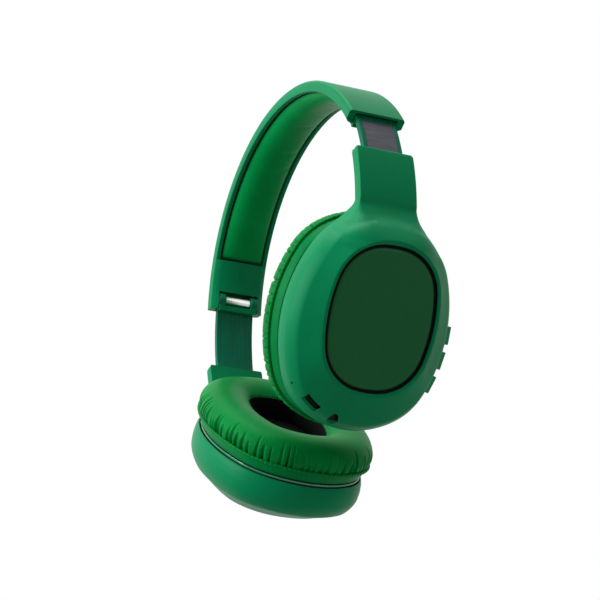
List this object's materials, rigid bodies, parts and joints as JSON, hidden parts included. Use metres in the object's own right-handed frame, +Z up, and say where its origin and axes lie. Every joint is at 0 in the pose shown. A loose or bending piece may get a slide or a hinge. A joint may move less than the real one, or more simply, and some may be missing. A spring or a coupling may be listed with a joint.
{
  "type": "wireless folding over-ear headphones",
  "caption": "Folding over-ear headphones with a padded headband, sliding side arms, round cushioned ear cups, side buttons and jack and charging sockets.",
  "frame": {"origin": "crown of the headband pad, where the headphones rest on a head", "axes": "+Z up, +Y the way the wearer faces, +X towards the wearer's right ear"},
  "size_m": [0.177, 0.0806, 0.2021],
  "materials": {
    "green_shell": "soft-touch matte",
    "dark_cover": "satin",
    "gloss_ring": "gloss",
    "strip_plastic": "satin",
    "brushed_plate": "brushed",
    "steel_pin": "polished",
    "spring_steel": "blued",
    "leatherette": "soft grained",
    "scrim_cloth": "woven",
    "black_plastic": "matte",
    "wire_sleeve": "smooth",
    "magnet": "nickel plated",
    "speaker_film": "thin film",
    "board": "solder mask",
    "battery_foil": "foil",
    "button_rubber": "soft touch"
  },
  "bodies": {
    "headband": {"band_outer_shell": "green_shell", "band_inner_frame": "green_shell", "spring_steel_band": "spring_steel", "headband_wire": "wire_sleeve", "headband_pad": "leatherette", "right_hinge_box": "green_shell", "right_ear_mark": "green_shell", "right_hinge_pin": "steel_pin", "left_hinge_box": "green_shell", "left_ear_mark": "green_shell", "left_hinge_pin": "steel_pin"},
    "right_arm": {"right_knuckle": "strip_plastic", "right_hinge_washers": "spring_steel", "right_slider_strip": "strip_plastic", "right_slider_plate": "brushed_plate"},
    "right_cup": {"right_outer_housing": "green_shell", "right_neck_cover": "green_shell", "right_slider_guides": "strip_plastic", "right_cup_cover": "dark_cover", "right_baffle": "green_shell", "right_trim_ring": "gloss_ring", "right_cushion_flange": "green_shell", "right_ear_scrim": "scrim_cloth", "right_ear_cushion": "leatherette", "right_driver_frame": "black_plastic", "right_driver_magnet": "magnet", "right_driver_diaphragm": "speaker_film", "right_driver_grille": "black_plastic", "right_cup_screws": "steel_pin", "circuit_board": "board", "button_switches": "black_plastic", "usb_socket": "steel_pin", "aux_jack": "black_plastic", "microphone": "steel_pin"},
    "left_arm": {"left_knuckle": "strip_plastic", "left_hinge_washers": "spring_steel", "left_slider_strip": "strip_plastic", "left_slider_plate": "brushed_plate"},
    "left_cup": {"left_outer_housing": "green_shell", "left_neck_cover": "green_shell", "left_slider_guides": "strip_plastic", "left_cup_cover": "dark_cover", "left_baffle": "green_shell", "left_trim_ring": "gloss_ring", "left_cushion_flange": "green_shell", "left_ear_scrim": "scrim_cloth", "left_ear_cushion": "leatherette", "left_driver_frame": "black_plastic", "left_driver_magnet": "magnet", "left_driver_diaphragm": "speaker_film", "left_driver_grille": "black_plastic", "left_cup_screws": "steel_pin", "battery": "battery_foil"},
    "volume_up_key": {"volume_up_button": "button_rubber"},
    "multifunction_key": {"multifunction_button": "button_rubber"},
    "volume_down_key": {"volume_down_button": "button_rubber"}
  },
  "joints": [
    {"name": "right_fold", "type": "hinge", "parent": "headband", "child": "right_arm", "pos_m": [0.07738, 0, -0.04727], "axis": [0, 1, 0], "range_deg": [-12, 57]},
    {"name": "right_slide", "type": "hinge", "parent": "right_arm", "child": "right_cup", "pos_m": [-0.01164, 0, -0.06906], "axis": [0, 1, 0], "range_deg": [-9.96, 5.13]},
    {"name": "left_fold", "type": "hinge", "parent": "headband", "child": "left_arm", "pos_m": [-0.07738, 0, -0.04727], "axis": [0, -1, 0], "range_deg": [0, 3.5]},
    {"name": "left_slide", "type": "hinge", "parent": "left_arm", "child": "left_cup", "pos_m": [0.0051, 0, -0.08723], "axis": [0, -1, 0], "range_deg": [-17.93, 1.39]},
    {"name": "volume_up_press", "type": "slide", "parent": "right_cup", "child": "volume_up_key", "axis": [-0.0138, -0.9998, -0.0153], "range_m": [0, 0.0005], "stiffness_N_per_m": 1500, "springref_m": -0.0002},
    {"name": "multifunction_press", "type": "slide", "parent": "right_cup", "child": "multifunction_key", "axis": [0.0999, -0.9888, 0.1108], "range_m": [0, 0.0005], "stiffness_N_per_m": 1500, "springref_m": -0.0002},
    {"name": "volume_down_press", "type": "slide", "parent": "right_cup", "child": "volume_down_key", "axis": [0.2106, -0.9492, 0.2337], "range_m": [0, 0.0005], "stiffness_N_per_m": 1500, "springref_m": -0.0002}
  ]
}
